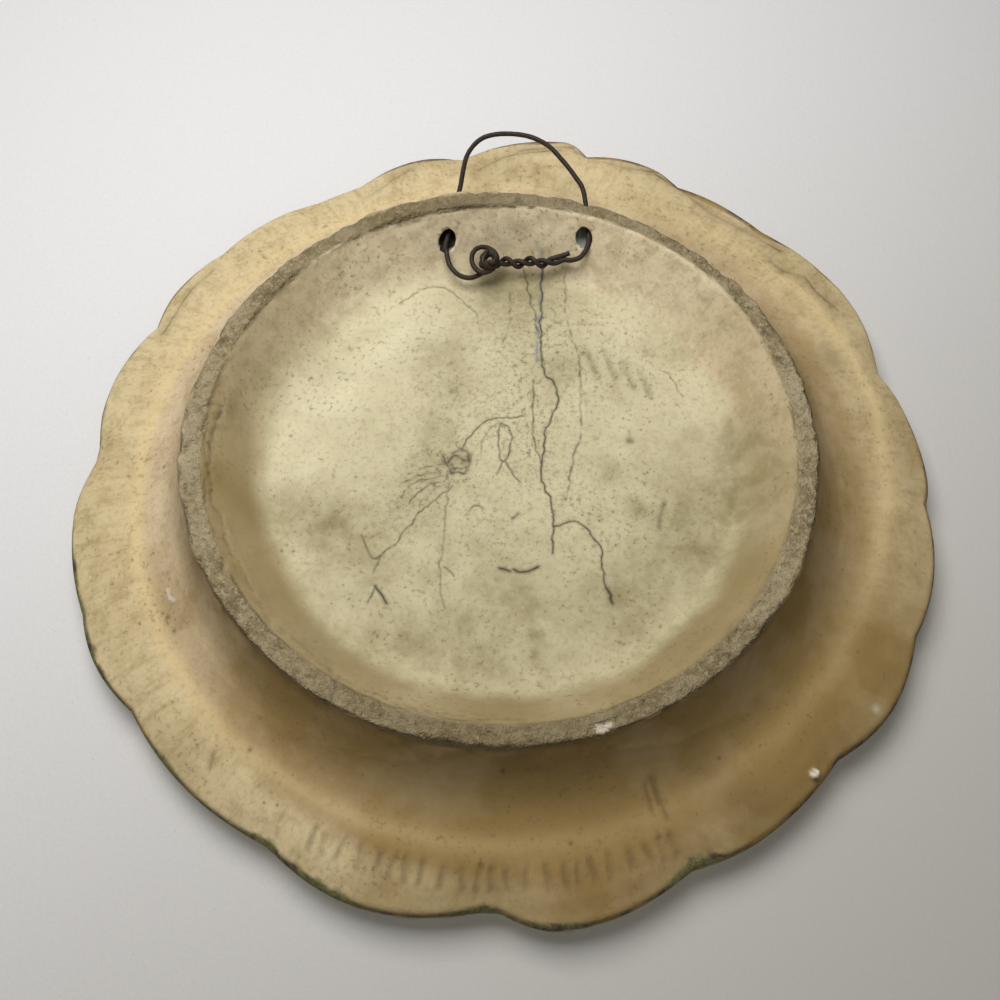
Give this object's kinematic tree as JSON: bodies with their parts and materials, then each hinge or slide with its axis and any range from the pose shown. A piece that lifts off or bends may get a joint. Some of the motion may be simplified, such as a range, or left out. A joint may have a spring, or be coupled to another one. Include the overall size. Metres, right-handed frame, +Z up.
{
  "type": "plaster wall plate",
  "caption": "Cast plaster wall plate with a leaf-edged rim, a hollow foot ring and an iron hanging wire through its back.",
  "frame": {"origin": "the point where a nail in the wall carries the wire loop, above the plate's middle", "axes": "+Y towards the wall, out of the foot ring's flat land; -Y out of the decorated face; +Z up as the plate hangs; +X to the right as the decorated face is seen"},
  "size_m": [0.2603, 0.0345, 0.2647],
  "materials": {
    "plaster": "unglazed cast plaster, matte, aged and stained",
    "iron_wire": "dark rusted iron wire"
  },
  "bodies": {
    "root": {"plate": "plaster", "hanging_wire": "iron_wire"}
  },
  "joints": []
}
